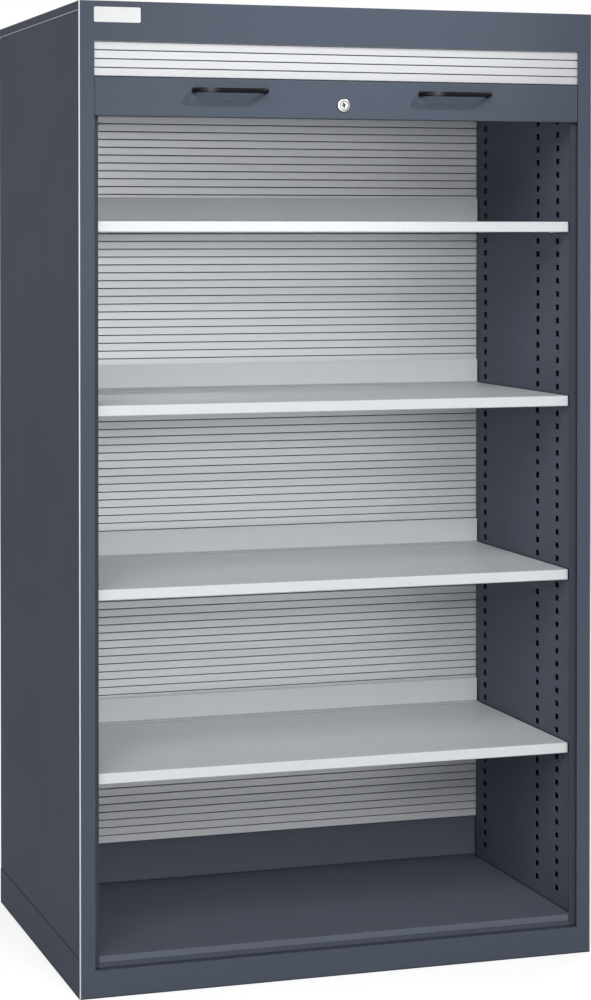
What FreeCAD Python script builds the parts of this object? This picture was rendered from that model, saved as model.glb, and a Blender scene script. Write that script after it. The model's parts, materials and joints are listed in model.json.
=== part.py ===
"""Roll front tool cabinet: welded sheet-steel housing, a slatted shutter that runs in side
guides over the top and down behind the shelves, four adjustable shelves, and a lock in the
shutter's end rail that drives two bars into the guides.

Millimetres. X runs to the right and Z up. While modelling, y is measured back from the front
face; save() moves each piece so that the frame's origin is the middle of the footprint.
"""
import FreeCAD, Part
import math
import os
from FreeCAD import Vector

# Housing
WIDTH, DEPTH, HEIGHT = 1023.0, 725.0, 1832.0
SHEET = 1.5                    # outer sheet
LINER = 1.2                    # inner sheet and shelves
BEND = 2.5                     # outside radius of a folded edge
LIP = 18.0                     # turned-down edge of the top cover
PLINTH = 72.0
LIP_PROUD = 0.8                # top cover and plinth stand out this far past the side panels
SEAM = 1.0                     # open joint between panels
JAMB, SILL, HEADER = 29.5, 50.5, 73.0
CORNER_LEG = 8.0               # the front frame's fold round the side
OPENING_HALF = WIDTH / 2 - JAMB
HEADER_BOTTOM = HEIGHT - HEADER
SIDE_OUT = WIDTH / 2 - LIP_PROUD
SIDE_IN = SIDE_OUT - SHEET
ANCHOR_X, ANCHOR_Y, ANCHOR_R = 900.0, 560.0, 5.5
LABEL_X, LABEL_Z = (-483.0, -395.0), (1793.0, 1821.0)
LABEL_T, LABEL_CORNER = 0.8, 3.0

# Shutter path: up the front, round a bend, back along the top, round a bend, down the rear
PATH_Y = 9.0                   # middle of the curtain at the front
REAR_PATH_Y = 520.0            # and at the rear
PATH_R = 50.0
BEND_Z = 1762.0
TOP_Z = BEND_Z + PATH_R
GROOVE = 5.0                   # half width of the guide's groove
BEND_GROOVE = 5.5              # and in its bends, where flat slats need more room
WEB_IN, WEB_OUT = 489.0, 490.5
STRIP_EDGE = 472.0             # inner edge of the strip of guide that shows beside the opening
OUTER_FLANGE_EDGE = 483.0

# Slats
PITCH, SLAT_H, SLAT_T = 16.0, 14.4, 7.0
SLAT_HALF = 487.0
SLAT_CHAMFER = 0.9
TONGUE_T = 2.0
BENT_TONGUE = 0.3              # a tongue's reach where neighbours meet at an angle
SLATS_ON_SHUTTER, SLATS_IN_FEED, SLATS_ON_TOP, SLATS_AT_REAR = 4, 5, 31, 100

# End rail, handles and lock
RAIL_BOTTOM, RAIL_TOP = 1622.0, 1693.5
RAIL_HALF = 481.0
RAIL_FRONT, RAIL_REAR = 1.0, 13.4
RAIL_LIP = 12.0
CLOSING_GAP = 0.5              # left between the closed rail and the sill
TRAVEL = RAIL_BOTTOM - SILL - CLOSING_GAP
HANDLE_X, HANDLE_Z = 224.0, 1671.0
HANDLE_SPACING, HANDLE_R, HANDLE_OUT, HANDLE_BEND = 136.0, 5.0, 22.0, 11.0
HANDLE_SCREW_R = 2.4
LOCK_Z = 1647.5
LOCK_FLANGE_R, LOCK_BODY_R, PLUG_R = 12.0, 9.5, 7.5
CAM_R, PIN_R, PIN_CIRCLE = 12.0, 2.0, 9.0
LOCK_BODY_END, CAM_Y, ROD_Y = 7.4, (7.6, 9.4), (9.7, 11.7)
ROD_H, ROD_OFFSET, ROD_TIP = 12.0, 7.7, 484.0
CAP_IN, CAP_TIP = 458.0, 488.0

# Inside
WALL_X = 478.0                 # inner face of the slotted walls
WALL_TOP = TOP_Z - GROOVE - SHEET
WALL_Y = (PATH_Y + GROOVE + SHEET, REAR_PATH_Y - GROOVE - SHEET)
SLOT_COLUMNS = (89.0, 186.0, 463.0)
SLOT_PITCH, SLOT_Z0, SLOT_ROWS = 26.2, 107.0, 61
SLOT_W, SLOT_H = 17.0, 11.0
FLOOR_TOP = PLINTH + LINER
STRIP_TOP = 60.0               # upper edge of the strip along the sill
INNER_REAR_Y = REAR_PATH_Y + GROOVE + SHEET
SHELF_ROWS = (50, 37, 24, 11)
SHELF_ABOVE_SLOT = 12.0
SHELF_HALF, SHELF_Y, SHELF_H = 475.5, (30.0, 500.0), 20.6
SHELF_RETURN = 12.0
BACK_STOP_H, BACK_STOP_FOOT = 50.0, 20.0
CLIP_W, CLIP_LEDGE = 24.0, 12.0
HOOK_PLAY = 0.5                # a clip's hook in its slot


def block(x, y, z):
    """A box from three (low, high) pairs."""
    return Part.makeBox(x[1] - x[0], y[1] - y[0], z[1] - z[0], Vector(x[0], y[0], z[0]))


def rod_y(radius, y, x, z):
    """A cylinder along Y."""
    return Part.makeCylinder(radius, y[1] - y[0], Vector(x, y[0], z), Vector(0, 1, 0))


def joined(first, *others):
    """One solid from pieces that touch or overlap."""
    return first.multiFuse(list(others)).removeSplitter()


def mirrored(shape):
    """The same piece for the other side."""
    return shape.mirror(Vector(0, 0, 0), Vector(1, 0, 0))


def rounded(shape, radius, along, places):
    """Fillets the straight edges that run along one axis ("x", "y" or "z") through the places."""
    chosen = []
    for edge in shape.Edges:
        middle = edge.CenterOfMass
        ends = edge.Vertexes[-1].Point - edge.Vertexes[0].Point
        if ends.Length < 0.1 or abs(getattr(ends, along)) < 0.999 * ends.Length:
            continue
        others = [axis for axis in "xyz" if axis != along]
        here = [getattr(middle, axis) for axis in others]
        if any(math.dist(here, place) < 0.01 for place in places):
            chosen.append(edge)
    return shape.makeFillet(radius, chosen)


def save(name, shape):
    """Writes one piece, moved to the frame's origin."""
    placed = shape.copy()
    placed.translate(Vector(0, -DEPTH / 2, 0))
    if not placed.isValid():
        raise ValueError(name + " is not a valid shape")
    placed.exportStep("parts/" + name + ".step")
    print(f"{name:24s} {len(placed.Solids):4d} solids {placed.Volume / 1000:10.1f} cm3")


def save_pair(name, right):
    """Writes a right-hand piece and its mirror image."""
    save(name + "_right", right)
    save(name + "_left", mirrored(right))


# ---- Housing -------------------------------------------------------------------------------

def front_frame():
    """Face frame cut from one sheet, folded round both sides, with a tab behind each panel."""
    half = WIDTH / 2
    frame = block((-half, half), (0, SHEET), (0, HEIGHT))
    frame = frame.cut(block((-OPENING_HALF, OPENING_HALF), (-1, SHEET + 1), (SILL, HEADER_BOTTOM)))
    leg = block((half - SHEET, half), (0, CORNER_LEG), (0, HEIGHT))
    tab = block((SIDE_IN - SHEET, SIDE_IN), (SHEET, 4 * CORNER_LEG), (PLINTH, HEIGHT - LIP))
    bridge = block((SIDE_IN - SHEET, half - SHEET), (SHEET, CORNER_LEG - 1), (PLINTH, HEIGHT - LIP))
    lip = block((-OPENING_HALF, OPENING_HALF), (SHEET, PATH_Y - GROOVE),
                (HEADER_BOTTOM, HEADER_BOTTOM + SHEET))
    right = [leg, tab, bridge]
    frame = joined(frame, lip, *right, *[mirrored(piece) for piece in right])
    return rounded(frame, BEND, "z", [(half, 0), (-half, 0)])


def sill_channel():
    """Ledge that the end rail closes on, with the raised strip behind it."""
    ledge = block((-WEB_OUT, WEB_OUT), (SHEET, WALL_Y[0]), (SILL - SHEET, SILL))
    strip = block((-STRIP_EDGE, STRIP_EDGE), (WALL_Y[0] - SHEET, WALL_Y[0]), (SILL, STRIP_TOP))
    return joined(ledge, strip)


def top_cover():
    """Lid with its edges turned down; the front edge tucks behind the front frame."""
    half = WIDTH / 2
    outer = block((-half, half), (CORNER_LEG + SEAM, DEPTH), (HEIGHT - LIP, HEIGHT))
    hollow = block((SHEET - half, half - SHEET), (0, DEPTH - SHEET), (0, HEIGHT - SHEET))
    lid = rounded(outer, BEND, "y", [(half, HEIGHT), (-half, HEIGHT)]).cut(hollow)
    nose = block((SHEET - half, half - SHEET), (SHEET, CORNER_LEG + SEAM),
                 (HEIGHT - SHEET, HEIGHT))
    tuck = block((BEND - half, half - BEND), (SHEET, 2 * SHEET), (HEIGHT - LIP, HEIGHT - SHEET))
    return joined(lid, nose, tuck)


def base_plinth():
    """Base tray: floor-side sheet with anchor holes, three walls, and a flange for the panels."""
    half = WIDTH / 2
    front = CORNER_LEG + SEAM
    tray = block((-half, half), (front, DEPTH), (0, PLINTH))
    tray = tray.cut(block((SHEET - half, half - SHEET), (0, DEPTH - SHEET), (SHEET, PLINTH + 1)))
    apron = block((SHEET - half, half - SHEET), (SHEET, front), (0, SHEET))
    riser = block((SHEET - half, half - SHEET), (SHEET, 2 * SHEET), (SHEET, SILL - SHEET))
    flange_in = WALL_X - 3 * LIP / 2
    flange = block((flange_in, half - SHEET), (WALL_Y[0] + LINER, DEPTH - SHEET),
                   (PLINTH - SHEET, PLINTH))
    tray = joined(tray, apron, riser, flange, mirrored(flange))
    for x in (-ANCHOR_X / 2, ANCHOR_X / 2):
        for y in (-ANCHOR_Y / 2, ANCHOR_Y / 2):
            tray = tray.cut(Part.makeCylinder(ANCHOR_R, PLINTH / 2, Vector(x, DEPTH / 2 + y, -1)))
    return tray


def side_panel():
    """Right side sheet, with its rear edge folded in to carry the rear panel."""
    z = (PLINTH + SEAM, HEIGHT - LIP - SEAM)
    rear = DEPTH - SHEET
    wall = block((SIDE_IN, SIDE_OUT), (CORNER_LEG + SEAM, rear), z)
    fold = block((SIDE_IN - 3 * LIP / 2, SIDE_IN), (rear - SHEET, rear), z)
    holes = [rear_screw(x, height, 0.05) for x, height in rear_screw_places() if x > 0]
    return joined(wall, fold).cut(Part.Compound(holes))


def rear_screw_places():
    """The rear panel's screws, down both edges, as (x, z)."""
    x = SIDE_IN - LIP
    low, high, count = PLINTH + 60, HEIGHT - LIP - 60, 6
    rows = [low + (high - low) * i / (count - 1) for i in range(count)]
    return [(side * x, z) for side in (-1, 1) for z in rows]


def rear_screw(x, z, clearance=0.0):
    """Countersunk screw, or its hole when there is clearance."""
    head = Part.makeCone(4.0 + clearance, 2.2 + clearance, SHEET,
                         Vector(x, DEPTH, z), Vector(0, -1, 0))
    shank = rod_y(2.2 + clearance, (DEPTH - 9, DEPTH - SHEET), x, z)
    return joined(head, shank)


def rear_panel():
    """Outer back sheet with its countersunk holes."""
    panel = block((-SIDE_OUT, SIDE_OUT), (DEPTH - SHEET, DEPTH),
                  (PLINTH + SEAM, HEIGHT - LIP - SEAM))
    return panel.cut(Part.Compound([rear_screw(x, z, 0.05) for x, z in rear_screw_places()]))


def label_plate():
    """Blank plate on the header."""
    plate = block(LABEL_X, (-LABEL_T, 0), LABEL_Z)
    return rounded(plate, LABEL_CORNER, "y", [(x, z) for x in LABEL_X for z in LABEL_Z])


# ---- Guides and curtain --------------------------------------------------------------------

def channel(length_axis, span, middle, outward, inner_edge):
    """Straight right-hand guide: web at the side and a flange each side of the curtain.

    length_axis is "z" or "y", middle the curtain's place on the other axis, and outward the
    direction, +1 or -1 on that axis, from inside the cabinet to outside.
    """
    def piece(x, across):
        low, high = sorted(middle + outward * value for value in across)
        if length_axis == "z":
            return block(x, (low, high), span)
        return block(x, span, (low, high))
    web = piece((WEB_IN, WEB_OUT), (-GROOVE - SHEET, GROOVE + SHEET))
    outer = piece((OUTER_FLANGE_EDGE, WEB_OUT), (GROOVE, GROOVE + SHEET))
    inner = piece((inner_edge, WEB_OUT), (-GROOVE - SHEET, -GROOVE))
    return joined(web, outer, inner)


def channel_bend(centre_y, start_angle):
    """Right-hand quarter bend about the X axis through (centre_y, BEND_Z)."""
    def ring(x, radii):
        place, axis = Vector(x[0], centre_y, BEND_Z), Vector(1, 0, 0)
        outer = Part.makeCylinder(radii[1], x[1] - x[0], place, axis, 360)
        return outer.cut(Part.makeCylinder(radii[0], x[1] - x[0], place, axis, 360))
    low, high = PATH_R - BEND_GROOVE, PATH_R + BEND_GROOVE
    bend = joined(ring((WEB_IN, WEB_OUT), (low - 2, high + 2)),
                  ring((OUTER_FLANGE_EDGE, WEB_OUT), (high, high + 2)),
                  ring((WALL_X + LINER, WEB_OUT), (low - 2, low)))
    reach = PATH_R * 2
    y = (centre_y - reach, centre_y) if start_angle == 90 else (centre_y, centre_y + reach)
    return bend.common(block((WALL_X, WEB_OUT + 1), y, (BEND_Z, BEND_Z + reach)))


def guide_front():
    """Right front guide, its outer flange thick enough to reach the front frame."""
    guide = channel("z", (SILL, BEND_Z), PATH_Y, -1, STRIP_EDGE)
    backing = block((OUTER_FLANGE_EDGE, WEB_OUT), (SHEET, PATH_Y - GROOVE), (SILL, BEND_Z))
    return joined(guide, backing)


def lock_windows(side):
    """Clear space for a lock bar through a guide's web, shutter open and closed.

    side is +1 right or -1 left.
    """
    x = sorted((side * (WEB_IN - 1), side * (WEB_OUT + 1)))
    windows = []
    for z in (LOCK_Z, LOCK_Z - TRAVEL):
        middle = z + side * ROD_OFFSET
        windows.append(block(x, (ROD_Y[0] - 1, ROD_Y[1] + 1),
                             (middle - ROD_H / 2 - 1, middle + ROD_H / 2 + 1)))
    return Part.Compound(windows)


FRONT_BEND_Y = PATH_Y + PATH_R
REAR_BEND_Y = REAR_PATH_Y - PATH_R
RAIL_GAP = PITCH - SLAT_H
RISE = BEND_Z - RAIL_TOP
QUARTER = math.pi / 2 * PATH_R
RUN = REAR_BEND_Y - FRONT_BEND_Y


def on_path(distance):
    """The curtain's middle line from the end rail on: (y, z, degrees turned about -X)."""
    if distance < RISE:
        return PATH_Y, RAIL_TOP + distance, 0.0
    distance -= RISE
    if distance < QUARTER:
        turn = distance / PATH_R
        return (FRONT_BEND_Y - PATH_R * math.cos(turn), BEND_Z + PATH_R * math.sin(turn),
                math.degrees(turn))
    distance -= QUARTER
    if distance < RUN:
        return FRONT_BEND_Y + distance, TOP_Z, 90.0
    distance -= RUN
    if distance < QUARTER:
        turn = distance / PATH_R
        return (REAR_BEND_Y + PATH_R * math.sin(turn), BEND_Z + PATH_R * math.cos(turn),
                90 + math.degrees(turn))
    return REAR_PATH_Y, BEND_Z - (distance - QUARTER), 180.0


def slat(reach):
    """One slat, centred on the origin: chamfered bar with a tongue towards its neighbour."""
    t, h, c, tongue = SLAT_T / 2, SLAT_H / 2, SLAT_CHAMFER, TONGUE_T / 2
    outline = [(-t, c - h), (-t, h - c), (c - t, h), (t - c, h), (t, h - c), (t, c - h),
               (t - c, -h), (tongue, -h), (tongue, -h - reach), (-tongue, -h - reach),
               (-tongue, -h), (c - t, -h)]
    points = [Vector(-SLAT_HALF, y, z) for y, z in outline]
    face = Part.Face(Part.makePolygon(points + points[:1]))
    return face.extrude(Vector(2 * SLAT_HALF, 0, 0))


def slats(first, count):
    """A run of slats along the path, as separate solids; tongues meet on straight runs only."""
    made, straight, bent = [], slat(RAIL_GAP), slat(BENT_TONGUE)
    for index in range(first, first + count):
        y, z, turn = on_path((index + 0.5) * PITCH + RAIL_GAP / 2)
        before = on_path((index - 0.5) * PITCH + RAIL_GAP / 2)[2]
        copy = straight.copy() if turn == before and turn % 90 == 0 else bent.copy()
        copy.rotate(Vector(0, 0, 0), Vector(-1, 0, 0), turn)
        copy.translate(Vector(0, y, z))
        made.append(copy)
    return Part.Compound(made)


# ---- Inside --------------------------------------------------------------------------------

def wall_outline():
    """Edge of a slotted wall, its upper corners rounded to clear the curtain's bends."""
    def at(y, z):
        return Vector(WALL_X, y, z)
    radius = WALL_TOP - BEND_Z
    reach = radius * math.sqrt(0.5)
    front, rear = WALL_Y
    edges = [
        Part.LineSegment(at(front, PLINTH), at(rear, PLINTH)),
        Part.LineSegment(at(rear, PLINTH), at(rear, BEND_Z)),
        Part.Arc(at(rear, BEND_Z), at(REAR_BEND_Y + reach, BEND_Z + reach),
                 at(REAR_BEND_Y, WALL_TOP)),
        Part.LineSegment(at(REAR_BEND_Y, WALL_TOP), at(FRONT_BEND_Y, WALL_TOP)),
        Part.Arc(at(FRONT_BEND_Y, WALL_TOP), at(FRONT_BEND_Y - reach, BEND_Z + reach),
                 at(front, BEND_Z)),
        Part.LineSegment(at(front, BEND_Z), at(front, PLINTH)),
    ]
    return Part.Wire([edge.toShape() for edge in edges])


def inner_wall():
    """Right slotted wall, folded out to the side panel at its front and rear edges."""
    outlines = [wall_outline()]
    for y in SLOT_COLUMNS:
        for row in range(SLOT_ROWS):
            low = SLOT_Z0 + row * SLOT_PITCH - SLOT_H / 2
            corners = [(y - SLOT_W / 2, low), (y - SLOT_W / 2, low + SLOT_H),
                       (y + SLOT_W / 2, low + SLOT_H), (y + SLOT_W / 2, low)]
            outlines.append(Part.makePolygon([Vector(WALL_X, *corner)
                                              for corner in corners + corners[:1]]))
    sheet = Part.makeFace(outlines, "Part::FaceMakerCheese").extrude(Vector(LINER, 0, 0))
    fold_z = (PLINTH, BEND_Z)
    folds = [block((WALL_X, SIDE_IN - SHEET - SEAM), (WALL_Y[0], WALL_Y[0] + LINER), fold_z),
             block((WALL_X, SIDE_IN), (WALL_Y[1] - LINER, WALL_Y[1]), fold_z)]
    return joined(sheet, *folds)


def inner_rear_panel():
    """Sheet behind the rear run of the curtain."""
    return block((-WEB_OUT, WEB_OUT), (INNER_REAR_Y, INNER_REAR_Y + LINER), (FLOOR_TOP, BEND_Z))


def floor_pan():
    """Cabinet floor, turned down at the front behind the sill's strip."""
    sheet = block((-WALL_X, WALL_X), (WALL_Y[0], DEPTH - 2 * SHEET), (PLINTH, FLOOR_TOP))
    rim = block((-WALL_X, WALL_X), (WALL_Y[0], WALL_Y[0] + LINER), (SILL, PLINTH))
    return joined(sheet, rim)


def shelf(top):
    """Shelf tray, open below, with its front edge returned under."""
    x, y, z = (-SHELF_HALF, SHELF_HALF), SHELF_Y, (top - SHELF_H, top)
    tray = rounded(block(x, y, z), BEND, "x", [(y[0], z[0]), (y[0], z[1])])
    hollow = block((x[0] + LINER, x[1] - LINER), (y[0] + LINER, y[1] - LINER),
                   (z[0] - 1, z[1] - LINER))
    turned = block((x[0] + LINER, x[1] - LINER), (y[0] + BEND, y[0] + SHELF_RETURN),
                   (z[0], z[0] + LINER))
    return joined(tray.cut(hollow), turned)


def shelf_back_stop(top):
    """Upright strip along a shelf's rear edge."""
    half, rear = SHELF_HALF - 1.5, SHELF_Y[1]
    upright = block((-half, half), (rear - LINER, rear), (top, top + BACK_STOP_H))
    foot = block((-half, half), (rear - BACK_STOP_FOOT, rear), (top, top + LINER))
    return joined(upright, foot)


def shelf_clip(y, slot_z):
    """Right-hand clip: hooks through a wall slot and carries a shelf's lower edge."""
    ledge_z = slot_z + SHELF_ABOVE_SLOT - SHELF_H
    across = (y - CLIP_W / 2, y + CLIP_W / 2)
    plate = block((WALL_X - LINER, WALL_X), across, (ledge_z - SHEET, slot_z + SLOT_H))
    ledge = block((WALL_X - CLIP_LEDGE, WALL_X), across, (ledge_z - SHEET, ledge_z))
    hook_half = SLOT_W / 2 - HOOK_PLAY
    hook = block((WALL_X, WALL_X + 3 * LINER), (y - hook_half, y + hook_half),
                 (slot_z - SLOT_H / 2 + HOOK_PLAY, slot_z + SLOT_H / 2 - 3 * HOOK_PLAY))
    return joined(plate, ledge, hook)


# ---- Shutter -------------------------------------------------------------------------------

def end_rail():
    """Folded channel along the curtain's lower end, holed for the handles and the lock."""
    x, y, z = (-RAIL_HALF, RAIL_HALF), (RAIL_FRONT, RAIL_REAR), (RAIL_BOTTOM, RAIL_TOP)
    rail = rounded(block(x, y, z), BEND - 1, "x", [(y[0], z[0]), (y[0], z[1])])
    inside_z = (z[0] + LINER, z[1] - LINER)
    rail = rail.cut(block((x[0] - 1, x[1] + 1), (y[0] + LINER, y[1] - LINER), inside_z))
    rail = rail.cut(block((x[0] - 1, x[1] + 1), (y[1] - LINER - 1, y[1] + 1),
                          (z[0] + RAIL_LIP, z[1] - RAIL_LIP)))
    holes = [rod_y(LOCK_BODY_R + 0.1, (-1, RAIL_FRONT + LINER + 1), 0, LOCK_Z)]
    holes += [rod_y(HANDLE_SCREW_R + 0.2, (-1, RAIL_FRONT + LINER + 1), place, HANDLE_Z)
              for place in handle_screw_places()]
    return rail.cut(Part.Compound(holes))


def end_rail_cap():
    """Right-hand plastic end of the rail, with the tongue that runs in the guide."""
    z = (RAIL_BOTTOM + LINER + 0.1, RAIL_TOP - LINER - 0.1)
    plug = block((CAP_IN, RAIL_HALF), (RAIL_FRONT + LINER + 0.1, RAIL_REAR - LINER - 0.1), z)
    tongue = block((RAIL_HALF, CAP_TIP), (PATH_Y - SLAT_T / 2, PATH_Y + SLAT_T / 2), z)
    bar_room = ROD_OFFSET + ROD_H / 2 + 1
    window = block((CAP_IN - 1, CAP_TIP + 1), (ROD_Y[0] - 0.5, PATH_Y + GROOVE),
                   (LOCK_Z - bar_room, LOCK_Z + bar_room))
    return joined(plug, tongue).cut(window)


def handle_screw_places():
    """X of the four handle screws."""
    return [side * HANDLE_X + end * HANDLE_SPACING / 2 for side in (-1, 1) for end in (-1, 1)]


def handle(x):
    """Bow handle of round section, drilled for its two screws."""
    half, out, bend = HANDLE_SPACING / 2, -HANDLE_OUT, HANDLE_BEND
    slant = bend * (1 - math.sqrt(0.5))

    def at(dx, y):
        return Vector(x + dx, y, HANDLE_Z)
    edges = [
        Part.LineSegment(at(-half, RAIL_FRONT), at(-half, out + bend)),
        Part.Arc(at(-half, out + bend), at(slant - half, out + slant), at(bend - half, out)),
        Part.LineSegment(at(bend - half, out), at(half - bend, out)),
        Part.Arc(at(half - bend, out), at(half - slant, out + slant), at(half, out + bend)),
        Part.LineSegment(at(half, out + bend), at(half, RAIL_FRONT)),
    ]
    path = Part.Wire([edge.toShape() for edge in edges])
    section = Part.Wire(Part.makeCircle(HANDLE_R, at(-half, RAIL_FRONT), Vector(0, 1, 0)))
    bow = path.makePipeShell([section], True, False)
    holes = [rod_y(HANDLE_SCREW_R + 0.1, (-9, RAIL_FRONT + 1), x + side * half, HANDLE_Z)
             for side in (-1, 1)]
    return bow.cut(Part.Compound(holes))


def handle_screw(x):
    """Screw from inside the rail into a handle's foot."""
    inside = RAIL_FRONT + LINER
    return joined(rod_y(HANDLE_SCREW_R, (-8, inside), x, HANDLE_Z),
                  rod_y(2 * HANDLE_SCREW_R, (inside, inside + 2.5), x, HANDLE_Z))


def lock_housing():
    """Round lock body with a stepped front flange."""
    flange = rod_y(LOCK_FLANGE_R, (-2, RAIL_FRONT), 0, LOCK_Z)
    rim = [edge for edge in flange.Edges if abs(edge.CenterOfMass.y + 2) < 0.01]
    flange = flange.makeFillet(1.2, rim)
    body = rod_y(LOCK_BODY_R, (RAIL_FRONT, LOCK_BODY_END), 0, LOCK_Z)
    bore = rod_y(PLUG_R + 0.1, (-3, LOCK_BODY_END + 1), 0, LOCK_Z)
    return joined(flange, body).cut(bore)


def lock_nut():
    """Hexagon nut that clamps the lock to the rail's face."""
    inside, across = RAIL_FRONT + LINER, 13.0
    corners = [Vector(across / math.cos(math.pi / 6) * math.sin(math.radians(60 * i)), inside,
                      LOCK_Z + across / math.cos(math.pi / 6) * math.cos(math.radians(60 * i)))
               for i in range(7)]
    nut = Part.Face(Part.makePolygon(corners)).extrude(Vector(0, 3, 0))
    return nut.cut(rod_y(LOCK_BODY_R, (0, LOCK_BODY_END), 0, LOCK_Z))


def lock_plug():
    """Turning core of the lock, with its keyway."""
    plug = rod_y(PLUG_R, (-1.4, CAM_Y[0]), 0, LOCK_Z)
    slot = block((-1.0, 1.0), (-3, 4.5), (LOCK_Z - 4.5, LOCK_Z + 4.5))
    ward = block((0.5, 2.4), (-3, 4.5), (LOCK_Z - 1.6, LOCK_Z + 0.4))
    return plug.cut(joined(slot, ward))


def cam_pin_places():
    """The cam's two pins at rest, 45 degrees short of upright, as (x, z)."""
    reach = PIN_CIRCLE * math.sqrt(0.5)
    return [(-reach, LOCK_Z + reach), (reach, LOCK_Z - reach)]


def lock_rod(side):
    """Flat bar from the cam out into the end cap; the pin works in its upright slot."""
    pin_x, pin_z = cam_pin_places()[0 if side > 0 else 1]
    middle = LOCK_Z + side * ROD_OFFSET
    inner = pin_x - side * (PIN_R + 3.4)
    x = sorted((inner, side * ROD_TIP))
    bar = block(x, ROD_Y, (middle - ROD_H / 2, middle + ROD_H / 2))
    low, high = sorted((side * (abs(pin_z - LOCK_Z) - PIN_R - 0.4),
                        side * (PIN_CIRCLE + PIN_R + 0.4)))
    return bar.cut(block((pin_x - PIN_R - 0.4, pin_x + PIN_R + 0.4), (0, RAIL_REAR),
                         (LOCK_Z + low, LOCK_Z + high)))


def build():
    """Makes every piece."""
    os.makedirs("parts", exist_ok=True)
    save("front_frame", front_frame())
    save("sill_channel", sill_channel())
    save("top_cover", top_cover())
    save("base_plinth", base_plinth())
    save_pair("side_panel", side_panel())
    save("rear_panel", rear_panel())
    save("rear_panel_screws", Part.Compound([rear_screw(x, z) for x, z in rear_screw_places()]))
    save("label_plate", label_plate())

    save("guide_front_right", guide_front().cut(lock_windows(1)))
    save("guide_front_left", mirrored(guide_front()).cut(lock_windows(-1)))
    save_pair("guide_front_bend", channel_bend(FRONT_BEND_Y, 90))
    save_pair("guide_top", channel("y", (FRONT_BEND_Y, REAR_BEND_Y), TOP_Z, 1, WALL_X + LINER))
    save_pair("guide_rear_bend", channel_bend(REAR_BEND_Y, 0))
    save_pair("guide_rear", channel("z", (FLOOR_TOP, BEND_Z), REAR_PATH_Y, 1, WALL_X + LINER))
    first = SLATS_ON_SHUTTER
    save("curtain_feed", slats(first, SLATS_IN_FEED))
    first += SLATS_IN_FEED
    save("curtain_top", slats(first, SLATS_ON_TOP))
    first += SLATS_ON_TOP
    save("curtain_rear", slats(first, SLATS_AT_REAR))

    save_pair("inner_wall", inner_wall())
    save("inner_rear_panel", inner_rear_panel())
    save("floor_pan", floor_pan())
    clips = []
    for number, row in enumerate(SHELF_ROWS, start=1):
        slot_z = SLOT_Z0 + row * SLOT_PITCH
        save(f"shelf_{number}", shelf(slot_z + SHELF_ABOVE_SLOT))
        save(f"shelf_back_stop_{number}", shelf_back_stop(slot_z + SHELF_ABOVE_SLOT))
        for y in (SLOT_COLUMNS[0], SLOT_COLUMNS[-1]):
            clips += [shelf_clip(y, slot_z), mirrored(shelf_clip(y, slot_z))]
    save("shelf_clips", Part.Compound(clips))

    save("shutter_slats", slats(0, SLATS_ON_SHUTTER))
    save("end_rail", end_rail())
    save_pair("end_rail_cap", end_rail_cap())
    save("handle_left", handle(-HANDLE_X))
    save("handle_right", handle(HANDLE_X))
    save("handle_screws", Part.Compound([handle_screw(x) for x in handle_screw_places()]))
    save("lock_housing", lock_housing())
    save("lock_nut", lock_nut())
    save("lock_plug", lock_plug())
    save("lock_cam", rod_y(CAM_R, CAM_Y, 0, LOCK_Z))
    save("cam_pins", Part.Compound([rod_y(PIN_R, (CAM_Y[1], ROD_Y[1]), x, z)
                                    for x, z in cam_pin_places()]))
    save("lock_rod_right", lock_rod(1))
    save("lock_rod_left", lock_rod(-1))


build()
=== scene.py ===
import json
import math

import bmesh
import bpy
from mathutils import Matrix, Vector


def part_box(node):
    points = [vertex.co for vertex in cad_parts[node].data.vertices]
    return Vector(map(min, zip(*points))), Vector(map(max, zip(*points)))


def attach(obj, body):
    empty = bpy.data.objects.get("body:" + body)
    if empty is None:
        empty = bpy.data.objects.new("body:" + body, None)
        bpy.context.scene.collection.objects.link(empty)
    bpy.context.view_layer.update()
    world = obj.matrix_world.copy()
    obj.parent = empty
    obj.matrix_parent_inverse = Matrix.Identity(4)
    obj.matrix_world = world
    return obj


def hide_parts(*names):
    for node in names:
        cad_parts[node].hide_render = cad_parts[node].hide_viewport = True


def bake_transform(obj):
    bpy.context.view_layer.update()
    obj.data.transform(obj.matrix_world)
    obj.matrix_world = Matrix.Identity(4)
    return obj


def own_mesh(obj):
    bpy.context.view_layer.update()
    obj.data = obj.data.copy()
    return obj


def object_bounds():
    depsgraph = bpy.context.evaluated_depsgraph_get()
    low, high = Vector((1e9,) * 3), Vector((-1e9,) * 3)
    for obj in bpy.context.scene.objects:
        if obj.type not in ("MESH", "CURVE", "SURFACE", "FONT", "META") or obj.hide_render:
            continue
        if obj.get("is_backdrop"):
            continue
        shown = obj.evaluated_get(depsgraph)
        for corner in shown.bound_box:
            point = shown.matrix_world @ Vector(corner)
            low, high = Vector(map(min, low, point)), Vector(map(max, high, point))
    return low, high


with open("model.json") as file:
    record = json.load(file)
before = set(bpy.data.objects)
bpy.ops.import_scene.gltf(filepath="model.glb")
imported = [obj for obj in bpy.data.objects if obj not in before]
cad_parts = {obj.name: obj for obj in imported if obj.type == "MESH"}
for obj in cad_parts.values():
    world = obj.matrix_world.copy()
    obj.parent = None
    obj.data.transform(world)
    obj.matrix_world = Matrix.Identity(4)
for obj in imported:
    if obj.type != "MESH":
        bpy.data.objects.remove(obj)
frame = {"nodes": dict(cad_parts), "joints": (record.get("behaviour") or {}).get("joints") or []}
cad_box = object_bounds()
nodes = frame["nodes"]
bpy.context.scene.view_settings.view_transform = "Standard"


# ---- Camera ---------------------------------------------------------------------------------
# A long lens to the left of the cabinet at chest height, so that the front and the left side
# both show and the upright edges stay upright. Lengths here and below are in metres and angles in
# degrees, but film and lens are in millimetres.

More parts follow.
